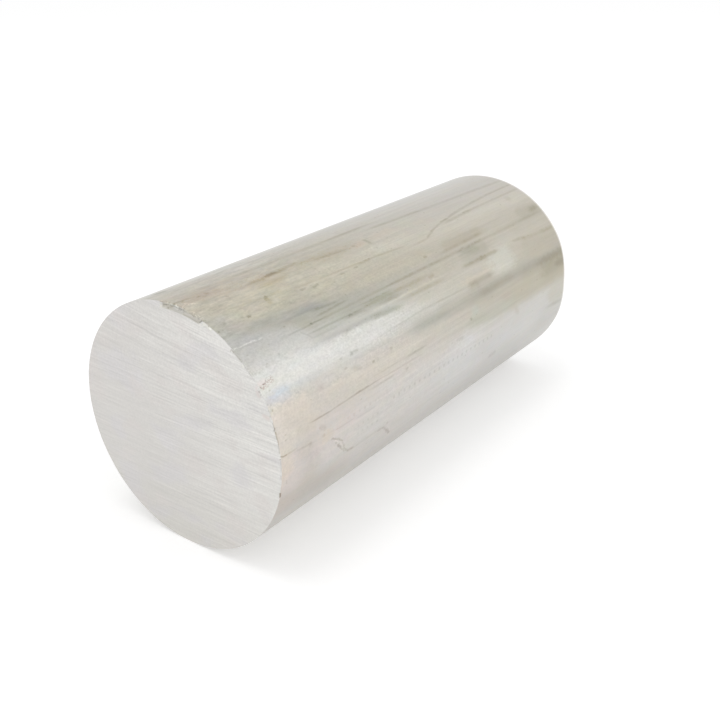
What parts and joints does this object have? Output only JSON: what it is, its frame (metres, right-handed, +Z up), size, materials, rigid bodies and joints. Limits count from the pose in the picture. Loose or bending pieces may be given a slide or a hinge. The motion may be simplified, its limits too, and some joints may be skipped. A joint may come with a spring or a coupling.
{
  "type": "aluminium round bar",
  "caption": "Short length of solid round aluminium bar stock with sawn ends, for turning, milling or use as a spacer, post or roller blank.",
  "frame": {"origin": "on the floor under the middle of the bar, at the bottom centre of its bounding box", "axes": "+X along the bar's axis, from the near end with the torn arris to the far end; +Z up"},
  "size_m": [0.15, 0.065, 0.065],
  "materials": {
    "mill_aluminium": "mill finish on the round, streaked along its length; both ends as sawn"
  },
  "bodies": {
    "root": {"bar": "mill_aluminium"}
  },
  "joints": []
}
